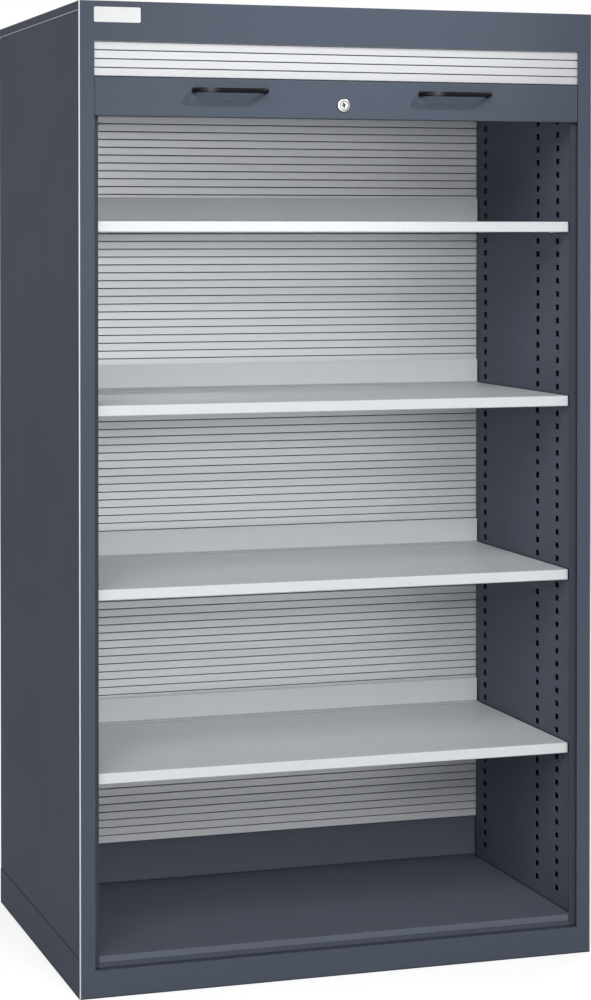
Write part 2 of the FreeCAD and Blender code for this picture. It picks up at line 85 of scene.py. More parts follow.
CAMERA_PLACE = (-1.584, -4.9335, 1.410)
CAMERA_DIP, CAMERA_TURN = 0.908, 18.036
FILM_HEIGHT, LENS_LENGTH, LENS_SHIFT = 36.0, 92.25, -0.228

bpy.ops.object.camera_add(location=CAMERA_PLACE)
camera = bpy.context.object
camera.rotation_euler = (math.radians(90 - CAMERA_DIP), 0, -math.radians(CAMERA_TURN))
camera.data.sensor_fit = "VERTICAL"
camera.data.sensor_height = FILM_HEIGHT
camera.data.lens = LENS_LENGTH
camera.data.shift_y = LENS_SHIFT
bpy.context.scene.camera = camera


# ---- Housing --------------------------------------------------------------------------------
# Face frame, side sheets, lid, back and plinth: folded and welded sheet steel, degreased and
# powder-coated blue-grey as one body. The paint has a fine orange peel. Its edges are lightened,
# partly where it wears thin and partly as a painted highlight, and shade is painted into its
# folds.

HOUSING_COLOUR = (0.080, 0.0935, 0.124, 1)
WORN_AND_HIGHLIT_EDGE = (0.25, 0.28, 0.33, 1)
PAINTED_HIGHLIGHT = (0.80, 0.82, 0.85, 1)
EDGE_ROUNDING = 0.0016
PAINTED_SHADE_REACH = 0.005
HIGHLIGHT_RIM_DEPTH = 0.0024


def set_inputs(tree, node, inputs):
    """Gives a node's sockets plain values, or links them from other nodes' outputs."""
    for socket, value in inputs.items():
        if isinstance(value, bpy.types.NodeSocket):
            tree.links.new(value, node.inputs[socket])
        else:
            node.inputs[socket].default_value = value


def shader_node(tree, kind, inputs=None, **settings):
    """Adds a shader node with its settings and inputs."""
    made = tree.nodes.new("ShaderNode" + kind)
    for setting, value in settings.items():
        setattr(made, setting, value)
    set_inputs(tree, made, inputs or {})
    return made


def new_finish(name, roughness, metallic=0.0, specular=0.5):
    """A material with its Principled shader and Object coordinates ready for a pattern."""
    finish = bpy.data.materials.new(name)
    finish.use_nodes = True
    tree = finish.node_tree
    shader = tree.nodes["Principled BSDF"]
    set_inputs(tree, shader, {"Roughness": roughness, "Metallic": metallic,
                              "Specular IOR Level": specular})
    return finish, tree, shader, shader_node(tree, "TexCoord").outputs["Object"]


def maths(tree, operation, *values):
    """A step of arithmetic on shader values."""
    return shader_node(tree, "Math", dict(enumerate(values)), operation=operation).outputs[0]


def axis_of(tree, vector, axis):
    """The X, Y or Z of a vector."""
    return shader_node(tree, "SeparateXYZ", {"Vector": vector}).outputs[axis]


def noise(tree, place, scale, detail=2.0, stretch=(1, 1, 1)):
    """Noise from 0 to 1; stretch squeezes the pattern along an axis."""
    mapped = shader_node(tree, "Mapping", {"Vector": place, "Scale": stretch}).outputs[0]
    return shader_node(tree, "TexNoise",
                       {"Vector": mapped, "Scale": scale, "Detail": detail}).outputs["Fac"]


def ranged(tree, value, low, high, from_low=0.0, from_high=1.0):
    """The value moved from one range to another and held inside it."""
    return shader_node(tree, "MapRange", {"Value": value, "From Min": from_low,
                                          "From Max": from_high, "To Min": low,
                                          "To Max": high}).outputs[0]


def shades(tree, factor, dark, light):
    """A colour between two, by a factor."""
    ramp = shader_node(tree, "ValToRGB", {"Fac": factor})
    ramp.color_ramp.elements[0].color = dark
    ramp.color_ramp.elements[1].color = light
    return ramp.outputs["Color"]


def over(tree, factor, below, above):
    """One colour laid over another where the factor is high."""
    return shader_node(tree, "Mix", {0: factor, 6: below, 7: above},
                       data_type="RGBA").outputs[2]


def bumped(tree, height, strength, distance, **under):
    """The normal of a surface raised by a pattern, over another normal if one is given."""
    return shader_node(tree, "Bump", {"Height": height, "Strength": strength,
                                      "Distance": distance, **under}).outputs[0]


def soft_edges(tree, radius):
    """The normal of edges rounded by the radius, and a mask that is 1 along them."""
    rounded = shader_node(tree, "Bevel", {"Radius": radius}, samples=6).outputs[0]
    plain = shader_node(tree, "NewGeometry").outputs["Normal"]
    agree = shader_node(tree, "VectorMath", {0: rounded, 1: plain},
                        operation="DOT_PRODUCT").outputs["Value"]
    return rounded, ranged(tree, agree, 1.0, 0.0, 0.86, 0.995)


def tinted(colour, share):
    """The colour made lighter or darker by a share."""
    return tuple(value * share for value in colour[:3]) + (1,)


def painted_crevice_shade(tree, reach):
    """A factor that falls to 0 in folds and where pieces meet, for the shade painted there."""
    open_share = shader_node(tree, "AmbientOcclusion", {"Distance": reach}, samples=8)
    return ranged(tree, open_share.outputs["AO"], 0.0, 1.0, 0.45, 0.85)


def powder_coat(name, colour, edge, roughness, wear_and_highlight_share=0.3, specular=0.005, corner_highlight_share=0.0,
                painted_fold_shade=0.18):
    """Baked powder paint with orange peel, shade painted into its folds, and edges lightened
    partly by wear and partly as a painted highlight.

    edge is the colour of those worn and highlit edges, corner_highlight_share sets a painted
    highlight along the rolled upright corners, and painted_fold_shade is how much of the colour is
    left where shade is painted into the folds.
    """
    finish, tree, shader, place = new_finish(name, roughness, specular=specular)
    drift = noise(tree, place, scale=2.6, detail=4.0)
    base = shades(tree, drift, tinted(colour, 0.97), tinted(colour, 1.03))
    mottle = ranged(tree, noise(tree, place, scale=110.0), 0.0, 0.5, 0.45, 0.75)
    base = over(tree, mottle, base, tinted(colour, 0.96))
    rounded, edges = soft_edges(tree, EDGE_ROUNDING)
    # Edges are lightened, partly as paint worn thin and partly as a painted highlight.
    edge_breakup = ranged(tree, noise(tree, place, scale=60.0, detail=5.0), 0.45, 1.0, 0.35, 0.65)
    worn_and_highlit = ranged(tree, maths(tree, "MULTIPLY", edges, edge_breakup), 0.0, wear_and_highlight_share)
    base = over(tree, worn_and_highlit, base, edge)
    # A highlight is painted along the rolled upright corners.
    facing = shader_node(tree, "NewGeometry").outputs["Normal"]
    turned = maths(tree, "MULTIPLY", axis_of(tree, facing, "X"), axis_of(tree, facing, "Y"))
    painted_highlight = ranged(tree, maths(tree, "ABSOLUTE", turned), 0.0, corner_highlight_share, 0.08, 0.25)
    base = over(tree, painted_highlight, base, PAINTED_HIGHLIGHT)
    # Shade is painted into the folds and where pieces meet.
    base = over(tree, painted_crevice_shade(tree, PAINTED_SHADE_REACH), tinted(colour, painted_fold_shade), base)
    handled = noise(tree, place, scale=7.0, detail=5.0)
    peel = noise(tree, place, scale=520.0, detail=1.0)
    wave = noise(tree, place, scale=9.0, detail=1.0)
    skin = bumped(tree, peel, strength=0.10, distance=0.0006, Normal=rounded)
    set_inputs(tree, shader, {
        "Base Color": base,
        "Roughness": ranged(tree, handled, roughness - 0.03, roughness + 0.03, 0.3, 0.7),
        "Normal": bumped(tree, wave, strength=0.03, distance=0.004, Normal=skin)})
    return finish


def finish_nodes(finish, *names):
    """Puts a finish on pieces that keep the shape they came with."""
    for name in names:
        for slot in nodes[name].material_slots:
            slot.material = finish


housing_paint = powder_coat("housing_paint", HOUSING_COLOUR, WORN_AND_HIGHLIT_EDGE, roughness=0.45)
# The face frame gets a painted highlight along its rolled upright corners.
frame_paint = powder_coat("frame_paint", HOUSING_COLOUR, WORN_AND_HIGHLIT_EDGE, roughness=0.45,
                          corner_highlight_share=0.9)
lid_paint = powder_coat("lid_paint", HOUSING_COLOUR, WORN_AND_HIGHLIT_EDGE, roughness=0.45)
finish_nodes(housing_paint, "sill_channel", "base_plinth", "side_panel_left",
             "side_panel_right", "rear_panel")
finish_nodes(frame_paint, "front_frame")
finish_nodes(lid_paint, "top_cover")

# A highlight is painted along the rim of the lid's turned-down edge.
tree = lid_paint.node_tree
coat = tree.nodes["Principled BSDF"].inputs["Base Color"]
rim_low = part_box("top_cover")[0].z
height = axis_of(tree, shader_node(tree, "TexCoord").outputs["Object"], "Z")
rim_highlight = ranged(tree, height, 1.0, 0.0, rim_low, rim_low + HIGHLIGHT_RIM_DEPTH)
tree.links.new(over(tree, rim_highlight, coat.links[0].from_socket, PAINTED_HIGHLIGHT), coat)


# ---- Inner walls, guides and floor ----------------------------------------------------------
# The slotted walls, the rear sheet and the floor are thinner sheet in the same paint, a little
# drier and rougher there, and coloured paler than the housing as painted light for the shade
# inside. The curtain's guides are coloured darker as painted shade, for the shadow that the
# jambs and the end rail throw on them.

INTERIOR_PAINTED_LIGHT_COLOUR = (0.126, 0.142, 0.181, 1)
GUIDE_PAINTED_SHADE_COLOUR = (0.056, 0.063, 0.082, 1)

interior_paint_painted_light = powder_coat("interior_paint_painted_light", INTERIOR_PAINTED_LIGHT_COLOUR, WORN_AND_HIGHLIT_EDGE, roughness=0.50,
                             wear_and_highlight_share=0.10)
guide_paint_painted_shade = powder_coat("guide_paint_painted_shade", GUIDE_PAINTED_SHADE_COLOUR, WORN_AND_HIGHLIT_EDGE, roughness=0.55,
                          wear_and_highlight_share=0.10)
finish_nodes(interior_paint_painted_light, "inner_wall_left", "inner_wall_right", "inner_rear_panel",
             "floor_pan")
finish_nodes(guide_paint_painted_shade,
             *[f"guide_{run}_{side}" for side in ("left", "right")
               for run in ("front", "front_bend", "top", "rear_bend", "rear")])


# ---- Curtain of the roll front --------------------------------------------------------------
# Extruded aluminium slats, each hooked to the next by a tongue. They run in the side guides up the
# front, back under the lid and down behind the shelves. Both faces are anodised satin grey; the
# outer face is coloured darker as painted shade and the inner face, which shows behind the
# shelves, paler as painted light. The tongues and the slats' ends are coloured near-black as
# painted shade in the joints.

SLAT_PITCH = 0.016
SLAT_HEIGHT = 0.0144
SLAT_THICK = 0.0070
LOWER_ROUND, UPPER_ROUND = 0.0012, 0.0003
FACE_MARGIN = 0.0004
TONGUE_REACH = 0.0016
TONGUE_SHARE = 0.29
JOINT_SHADE_COLOUR = (0.020, 0.020, 0.021, 1)
OUTER_PAINTED_SHADE_COLOUR = (0.52, 0.53, 0.545, 1)
INNER_PAINTED_LIGHT_COLOUR = (0.83, 0.84, 0.86, 1)
TOUCHING, WELDED = 1e-5, 1e-6


def slat_metal(name, colour, roughness):
    """Anodised aluminium, brushed lengthwise, each slat a little different in tone."""
    finish, tree, shader, place = new_finish(name, roughness, metallic=0.2, specular=0.2)
    row = maths(tree, "DIVIDE", axis_of(tree, place, "Z"), SLAT_PITCH)
    batch = shader_node(tree, "TexWhiteNoise", {"W": maths(tree, "FLOOR", row)},
                        noise_dimensions="1D")
    base = shades(tree, batch.outputs["Value"], tinted(colour, 0.97), tinted(colour, 1.02))
    brushed = noise(tree, place, scale=1.0, detail=3.0, stretch=(3.0, 900.0, 900.0))
    dulled = ranged(tree, brushed, 0.0, 0.35, 0.4, 0.8)
    set_inputs(tree, shader, {
        "Base Color": over(tree, dulled, base, tinted(colour, 0.88)),
        "Roughness": ranged(tree, brushed, roughness - 0.04, roughness + 0.06),
        "Normal": bumped(tree, brushed, strength=0.12, distance=0.0003)})
    return finish


# The outer face is coloured darker as painted shade and the inner face paler as painted light.
outer_metal_shaded = slat_metal("slat_outer_shaded", OUTER_PAINTED_SHADE_COLOUR, roughness=0.46)
inner_metal_lit = slat_metal("slat_inner_lit", INNER_PAINTED_LIGHT_COLOUR, roughness=0.38)
# The joints' faces are coloured near-black as painted shade.
joint_shade, tree, shader, place = new_finish("slat_joint_shade", roughness=0.7)
joint_shade_mottle = noise(tree, place, scale=90.0, detail=3.0)
set_inputs(tree, shader, {"Base Color": shades(tree, joint_shade_mottle, tinted(JOINT_SHADE_COLOUR, 0.7),
                                               tinted(JOINT_SHADE_COLOUR, 1.6))})
finish_nodes(outer_metal_shaded, "curtain_feed", "curtain_top")


def start_piece(name):
    """Takes the primitive just added, fixes its size and place, and opens it in edit mode."""
    piece = bpy.context.object
    piece.name = piece.data.name = name
    bpy.ops.object.transform_apply(location=True, rotation=True, scale=True)
    bpy.ops.object.mode_set(mode="EDIT")
    bpy.ops.mesh.select_mode(type="VERT")
    return piece


def choose(piece, part, wanted):
    """Selects only those vertices, edges or faces of the open piece that the test accepts."""
    bpy.ops.mesh.select_all(action="DESELECT")
    bpy.ops.mesh.select_mode(type=part)
    mesh = bmesh.from_edit_mesh(piece.data)
    for item in {"VERT": mesh.verts, "EDGE": mesh.edges, "FACE": mesh.faces}[part]:
        item.select_set(wanted(item))
    bmesh.update_edit_mesh(piece.data)


def along(edge, axis):
    """True for an edge that runs along an axis (0, 1 or 2)."""
    way = edge.verts[1].co - edge.verts[0].co
    return abs(way[axis]) > 0.99 * way.length


def draw_out(x=0.0, y=0.0, z=0.0):
    """Extrudes the selection by a step."""
    bpy.ops.mesh.extrude_region_move(TRANSFORM_OT_translate={"value": (x, y, z)})


def finish_piece(piece, finish, angle=35):
    """Closes the open piece, smooths what is nearly flat, and gives it its finish."""
    bpy.ops.mesh.select_all(action="SELECT")
    bpy.ops.mesh.remove_doubles(threshold=WELDED)
    bpy.ops.mesh.normals_make_consistent(inside=False)
    bpy.ops.object.mode_set(mode="OBJECT")
    bpy.ops.object.select_all(action="DESELECT")
    piece.select_set(True)
    bpy.context.view_layer.objects.active = piece
    bpy.ops.object.shade_smooth_by_angle(angle=math.radians(angle))
    piece.data.materials.clear()
    piece.data.materials.append(finish)


bpy.ops.object.select_all(action="DESELECT")
slat_low, slat_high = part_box("curtain_rear")
bpy.ops.mesh.primitive_cube_add(size=1)
bpy.context.object.scale = (slat_high.x - slat_low.x, SLAT_THICK, SLAT_HEIGHT)
slat = start_piece("slat")
choose(slat, "FACE", lambda face: face.normal.z < -0.9)
draw_out()
bpy.ops.transform.resize(value=(1, TONGUE_SHARE, 1), center_override=(0, 0, -SLAT_HEIGHT / 2))
draw_out(z=-TONGUE_REACH)
for end, size in ((-1, LOWER_ROUND), (1, UPPER_ROUND)):
    choose(slat, "EDGE", lambda edge: along(edge, 0)
           and abs(edge.verts[0].co.z - end * SLAT_HEIGHT / 2) < TOUCHING
           and abs(edge.verts[0].co.y) > SLAT_THICK / 3)
    bpy.ops.mesh.bevel(offset=size, segments=3, affect="EDGES")
choose(slat, "FACE", lambda face: abs(face.normal.y) > 0.99 and face.calc_area() > 0.01)
bpy.ops.mesh.inset(thickness=FACE_MARGIN, use_individual=True)
finish_piece(slat, outer_metal_shaded)
slat.data.materials.append(inner_metal_lit)
slat.data.materials.append(joint_shade)
for face in slat.data.polygons:
    face.material_index = 1 if face.center.y > 0 else 0
    # Tongues and slat ends take the near-black finish, painted shade in the joints.
    if abs(face.normal.z) > 0.99 or face.center.z < -SLAT_HEIGHT / 2:
        face.material_index = 2


def joined_copies(piece, name, places):
    """A copy of the piece at each place, each with its own mesh, joined as one."""
    bpy.ops.object.select_all(action="DESELECT")
    for place in places:
        copy = piece.copy()
        copy.data = piece.data.copy()
        copy.data.transform(place)
        bpy.context.collection.objects.link(copy)
        copy.select_set(True)
    bpy.context.view_layer.objects.active = copy
    bpy.ops.object.join()
    joined = bpy.context.object
    joined.name = joined.data.name = name
    return joined


def hang_slats(name, places, turn=0.0):
    """A run of slats, one at each (y, z), turned about X."""
    turned = Matrix.Rotation(turn, 4, "X")
    run = joined_copies(slat, name, [Matrix.Translation((0, y, z)) @ turned for y, z in places])
    return run


rear_y = (slat_low.y + slat_high.y) / 2
rear_count = round((slat_high.z - slat_low.z) / SLAT_PITCH)
curtain_rear = hang_slats(
    "curtain_rear_slats",
    [(rear_y, slat_low.z + SLAT_HEIGHT / 2 + SLAT_PITCH * i) for i in range(rear_count)],
    math.pi)
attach(curtain_rear, "cabinet")
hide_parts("curtain_rear")
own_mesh(curtain_rear)

# The four slats above the end rail go down with it.
FRONT_SLATS = 4

front_low, front_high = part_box("shutter_slats")
front_y = (front_low.y + front_high.y) / 2
front_slats = hang_slats(
    "shutter_front_slats",
    [(front_y, front_high.z - SLAT_HEIGHT / 2 - SLAT_PITCH * i) for i in range(FRONT_SLATS)])
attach(front_slats, "shutter")
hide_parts("shutter_slats")

# The slats that cover the front when it is shut. They are modelled shut, between the header and
# the four slats above, and each height is then moved up to where the travel brings it down from.
FEED_MARGIN = 0.004

travel = next(joint["range_m"][1] for joint in frame["joints"]
              if joint["name"] == "shutter_travel")
feed_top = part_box("curtain_feed")[1].z + FEED_MARGIN
feed_start = front_high.z
shut_low = feed_start - travel


def open_height(shut):
    """The height, shutter open, of a point that the travel brings down to a height when shut."""
    low, high = shut, shut + travel
    while high - low > 1e-7:
        middle = (low + high) / 2
        share = min(max((feed_top - middle) / (feed_top - feed_start), 0.0), 1.0)
        if middle - share * share * (3 - 2 * share) * travel < shut:
            low = middle
        else:
            high = middle
    return (low + high) / 2


feed_count = round(travel / SLAT_PITCH)
feed_pitch = travel / feed_count
curtain_front = hang_slats(
    "curtain_front_slats",
    [(front_y, shut_low + TONGUE_REACH + SLAT_HEIGHT / 2 + feed_pitch * i)
     for i in range(feed_count)])
for vert in curtain_front.data.vertices:
    vert.co.z = open_height(vert.co.z)
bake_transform(curtain_front)
bpy.data.objects.remove(slat)


# ---- End rail -------------------------------------------------------------------------------
# A folded steel channel in the housing's paint, closed at both ends by moulded caps whose
# tongues run in the guides and keep the rail level.

BLACK_MOULDED = (0.018, 0.019, 0.021, 1)

cap_plastic, tree, shader, place = new_finish("moulded_cap", roughness=0.5)
spark = noise(tree, place, scale=420.0)
set_inputs(tree, shader, {
    "Base Color": shades(tree, spark, tinted(BLACK_MOULDED, 0.8), tinted(BLACK_MOULDED, 1.3)),
    "Normal": bumped(tree, spark, strength=0.25, distance=0.0003)})
finish_nodes(housing_paint, "end_rail")
finish_nodes(cap_plastic, "end_rail_cap_left", "end_rail_cap_right")


# ---- Handles --------------------------------------------------------------------------------
# Two bow handles bent from round bar, each on two flared feet screwed from inside the rail. They
# are coated satin black, with a grey highlight painted in one place towards the left of each bar.

HANDLE_BLACK, HANDLE_DULL = (0.004, 0.004, 0.005, 1), (0.007, 0.007, 0.008, 1)
HIGHLIGHT_GREY = (0.080, 0.082, 0.082, 1)
HIGHLIGHT_PLACE, HIGHLIGHT_REACH = 0.2, 0.022
BAR_SHARE = 0.94
FOOT_HEIGHT = 0.0022
FLARE_TOP = 1.5 * FOOT_HEIGHT
BEND_RADIUS = 0.011
BEND_STEPS = 10
BAR_SIDES = 24

handle_low, handle_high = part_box("handle_left")
foot_radius = (handle_high.z - handle_low.z) / 2
bar_radius = BAR_SHARE * foot_radius
handle_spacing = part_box("handle_right")[0].x - handle_low.x
highlight_x = handle_low.x + HIGHLIGHT_PLACE * (handle_high.x - handle_low.x)

handle_coat, tree, shader, place = new_finish("handle_black", roughness=0.24, specular=0.08)
wear = noise(tree, place, scale=45.0, detail=4.0)
black = shades(tree, wear, HANDLE_BLACK, HANDLE_DULL)
# A grey highlight is painted round one place on each bar.
bar_x = maths(tree, "SUBTRACT", axis_of(tree, place, "X"), highlight_x)
bar_x = maths(tree, "WRAP", bar_x, handle_spacing / 2, -handle_spacing / 2)
painted_highlight = ranged(tree, maths(tree, "ABSOLUTE", bar_x), 1.0, 0.0, 0.0, HIGHLIGHT_REACH)
grit = noise(tree, place, scale=900.0, detail=1.0)
set_inputs(tree, shader, {
    "Base Color": over(tree, maths(tree, "POWER", painted_highlight, 2.0), black, HIGHLIGHT_GREY),
    "Roughness": ranged(tree, wear, 0.21, 0.27, 0.3, 0.7),
    "Normal": bumped(tree, grit, strength=0.03, distance=0.0002)})


def bow_handle(name):
    """A round bar drawn out of one foot, round two bends, and into the other foot."""
    low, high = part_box(name)
    z = (low.z + high.z) / 2
    left, right = low.x + foot_radius, high.x - foot_radius
    rail_y, bar_y = high.y, low.y + bar_radius
    shrink = bar_radius / foot_radius
    bpy.ops.mesh.primitive_circle_add(vertices=BAR_SIDES, radius=foot_radius,
                                      location=(left, rail_y, z),
                                      rotation=(math.pi / 2, 0, 0))
    piece = start_piece(name + "_bow")
    bpy.ops.mesh.select_all(action="SELECT")
    draw_out(y=-FOOT_HEIGHT)
    draw_out(y=-FOOT_HEIGHT / 2)
    bpy.ops.transform.resize(value=(shrink, 1, shrink),
                             center_override=(left, rail_y - FLARE_TOP, z))
    draw_out(y=bar_y + BEND_RADIUS - rail_y + FLARE_TOP)
    bpy.ops.mesh.spin(steps=BEND_STEPS, angle=math.pi / 2, axis=(0, 0, -1),
                      center=(left + BEND_RADIUS, bar_y + BEND_RADIUS, z))
    draw_out(x=right - left - 2 * BEND_RADIUS)
    bpy.ops.mesh.spin(steps=BEND_STEPS, angle=math.pi / 2, axis=(0, 0, -1),
                      center=(right - BEND_RADIUS, bar_y + BEND_RADIUS, z))
    draw_out(y=rail_y - bar_y - BEND_RADIUS - FLARE_TOP)
    draw_out(y=FOOT_HEIGHT / 2)
    bpy.ops.transform.resize(value=(1 / shrink, 1, 1 / shrink),
                             center_override=(right, rail_y - FOOT_HEIGHT, z))
    draw_out(y=FOOT_HEIGHT)
    bpy.ops.mesh.select_all(action="SELECT")
    bpy.ops.mesh.fill_holes(sides=0)
    finish_piece(piece, handle_coat, angle=50)
    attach(piece, "shutter")
    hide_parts(name)


bow_handle("handle_left")
bow_handle("handle_right")


# ---- Lock -----------------------------------------------------------------------------------
# A round cylinder lock in bright nickel: a stepped flange on the rail's face, and in it, past a
# groove, the turning plug with a wavy keyway. The groove and the keyway are coloured black inside
# as painted shade. The cam, pins and bars are zinc-plated.

BEZEL_NICKEL = (0.66, 0.67, 0.68, 1)
PLUG_NICKEL = (0.80, 0.81, 0.82, 1)
ZINC = (0.62, 0.64, 0.66, 1)
LOCK_SHADE_BLACK, LOCK_SHADE_GREY = (0.004, 0.004, 0.004, 1), (0.012, 0.012, 0.012, 1)
LOCK_SIDES = 64
BARREL_RADIUS = 0.0095
FLANGE_ROUND, ROUND_INSET, ROUND_DROP = 0.0009, 0.0003, 0.0004
GROOVE_OUTER, GROOVE_INNER, GROOVE_DEPTH = 0.0089, 0.0079, 0.0012
COLLAR_DEPTH = 0.0006
PLUG_ROUND = 0.0005
PLUG_PLAY = 0.0001
KEYWAY_WIDTH = 0.0021
KEYWAY_LENGTH = 0.009
KEYWAY_STEPS = (0.0013, 0.0010, -0.0012, -0.0011, 0.0013, 0.0010)
KEYWAY_STEP = 0.00145
JUST_INSIDE = 0.0001


def turned_piece(name, sides, profile, place):
    """A round piece: a circle drawn out ring by ring through (radius, height), then placed."""
    radius, height = profile[0]
    bpy.ops.mesh.primitive_circle_add(vertices=sides, radius=radius, location=(0, 0, height))
    piece = start_piece(name)
    bpy.ops.mesh.select_all(action="SELECT")
    for next_radius, next_height in profile[1:]:
        draw_out(z=next_height - height)
        grow = next_radius / radius
        bpy.ops.transform.resize(value=(grow, grow, 1), center_override=(0, 0, next_height))
        radius, height = next_radius, next_height
    bpy.ops.mesh.select_all(action="SELECT")
    bpy.ops.mesh.remove_doubles(threshold=WELDED)
    bpy.ops.mesh.fill_holes(sides=0)
    bpy.ops.object.mode_set(mode="OBJECT")
    piece.data.transform(place)
    bpy.ops.object.mode_set(mode="EDIT")
    return piece


def cut_away(piece, cutter):
    """Takes the cutter's shape out of a finished piece."""
    bpy.ops.object.select_all(action="DESELECT")
    piece.select_set(True)
    bpy.context.view_layer.objects.active = piece
    cut = piece.modifiers.new("cut", "BOOLEAN")
    cut.operation = "DIFFERENCE"
    cut.solver = "EXACT"
    cut.object = cutter
    bpy.ops.object.modifier_apply(modifier=cut.name)
    bpy.data.objects.remove(cutter)


def paint_recess_shade(piece, front, outer, inner=-1.0):
    """Paints shade black on faces behind a lock piece's front, by their distance from the lock's
    middle.
    """
    piece.data.materials.append(lock_recess_shade)
    for face in piece.data.polygons:
        reach = math.hypot(face.center.x - lock_x, face.center.z - lock_z)
        if inner < reach < outer and face.center.y > front + JUST_INSIDE:
            face.material_index = 1


def bright_metal(name, colour, roughness, scale):
    """Plated metal with fine clouding and a trace of polishing marks."""
    finish, tree, shader, place = new_finish(name, roughness, metallic=1.0)
    cloud = noise(tree, place, scale, detail=4.0)
    marks = noise(tree, place, scale * 9)
    set_inputs(tree, shader, {
        "Base Color": shades(tree, cloud, tinted(colour, 0.86), tinted(colour, 1.08)),
        "Roughness": ranged(tree, cloud, roughness * 0.8, roughness * 1.3, 0.3, 0.7),
        "Normal": bumped(tree, marks, strength=0.08, distance=0.0002)})
    return finish


bezel_nickel = bright_metal("bezel_nickel", BEZEL_NICKEL, roughness=0.20, scale=180.0)
plug_nickel = bright_metal("plug_nickel", PLUG_NICKEL, roughness=0.20, scale=260.0)
# Black painted shade for the lock's groove and keyway.
lock_recess_shade, tree, shader, place = new_finish("lock_recess_shade", roughness=0.6, specular=0.05)
lock_shade_mottle = noise(tree, place, scale=900.0)
set_inputs(tree, shader, {"Base Color": shades(tree, lock_shade_mottle, LOCK_SHADE_BLACK, LOCK_SHADE_GREY)})
zinc = bright_metal("zinc_plate", ZINC, roughness=0.34, scale=180.0)
finish_nodes(zinc, "lock_nut", "lock_cam", "cam_pins", "lock_rod_left", "lock_rod_right",
             "handle_screws")

# Both round pieces are drawn out upright and then laid to face the front, so a height is a -y.
lock_low, lock_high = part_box("lock_housing")
plug_low, plug_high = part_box("lock_plug")
lock_x, lock_z = (lock_low.x + lock_high.x) / 2, (lock_low.z + lock_high.z) / 2
facing_front = Matrix.Translation((lock_x, 0, lock_z)) @ Matrix.Rotation(math.pi / 2, 4, "X")
flange_radius = (lock_high.x - lock_low.x) / 2
plug_radius = (plug_high.x - plug_low.x) / 2
bore_radius = plug_radius + PLUG_PLAY
barrel_end, flange_back, flange_front = -lock_high.y, -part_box("end_rail")[0].y, -lock_low.y

bezel = turned_piece("lock_bezel", LOCK_SIDES, [
    (bore_radius, barrel_end), (BARREL_RADIUS, barrel_end), (BARREL_RADIUS, flange_back),
    (flange_radius, flange_back), (flange_radius, flange_front - FLANGE_ROUND),
    (flange_radius - ROUND_INSET, flange_front - ROUND_DROP),
    (flange_radius - FLANGE_ROUND, flange_front),
    (GROOVE_OUTER, flange_front), (GROOVE_OUTER, flange_front - GROOVE_DEPTH),
    (GROOVE_INNER, flange_front - GROOVE_DEPTH), (GROOVE_INNER, flange_front - COLLAR_DEPTH),
    (bore_radius, flange_front - COLLAR_DEPTH), (bore_radius, barrel_end)],
    facing_front)
finish_piece(bezel, bezel_nickel)
# The groove's walls and floor are coloured black as painted shade.
paint_recess_shade(bezel, lock_low.y, GROOVE_OUTER, GROOVE_INNER - JUST_INSIDE)
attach(bezel, "shutter")
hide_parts("lock_housing")

plug = turned_piece("lock_plug_face", LOCK_SIDES, [
    (plug_radius, -plug_high.y), (plug_radius, -plug_low.y - PLUG_ROUND),
    (plug_radius - PLUG_ROUND, -plug_low.y)], facing_front)
finish_piece(plug, plug_nickel)
bpy.ops.mesh.primitive_cube_add(
    size=1, location=(lock_x, plug_low.y, lock_z + KEYWAY_STEP * len(KEYWAY_STEPS) / 2))
bpy.context.object.scale = (KEYWAY_WIDTH, KEYWAY_LENGTH, KEYWAY_STEP)
keyway = start_piece("keyway")
choose(keyway, "FACE", lambda face: face.normal.z < -0.9)
for step in KEYWAY_STEPS:
    draw_out(x=step, z=-KEYWAY_STEP)
# The cut leaves the keyway's walls in this black, painted shade inside the plug.
finish_piece(keyway, lock_recess_shade)
cut_away(plug, keyway)
paint_recess_shade(plug, plug_low.y, plug_radius - PLUG_ROUND)
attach(plug, "lock_core")
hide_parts("lock_plug")


# ---- Shelves --------------------------------------------------------------------------------
# Four trays of folded sheet with their front edge returned under, and an upright strip along
# the rear of each. They are powder-coated light grey and rest on zinc clips hooked in the walls.

SHELF_COLOUR = (0.70, 0.725, 0.745, 1)
SHELF_WORN_AND_HIGHLIT_EDGE = (0.77, 0.795, 0.82, 1)

# Shelf edges are lightened partly by wear and partly as a painted highlight, and shade is painted
# strongly into the folds.
shelf_paint = powder_coat("shelf_paint", SHELF_COLOUR, SHELF_WORN_AND_HIGHLIT_EDGE, roughness=0.40,
                          wear_and_highlight_share=0.6, specular=0.06, painted_fold_shade=0.45)
for number in range(1, 5):
    finish_nodes(shelf_paint, f"shelf_{number}", f"shelf_back_stop_{number}")
finish_nodes(zinc, "shelf_clips")


# ---- Label plate ----------------------------------------------------------------------------
# A blank white plate stuck on the header, with rounded corners and a softened front edge.

PLATE_DULL, PLATE_WHITE = (0.62, 0.625, 0.63, 1), (0.67, 0.675, 0.68, 1)
PLATE_CORNER = 0.003
PLATE_MARGIN = 0.0003

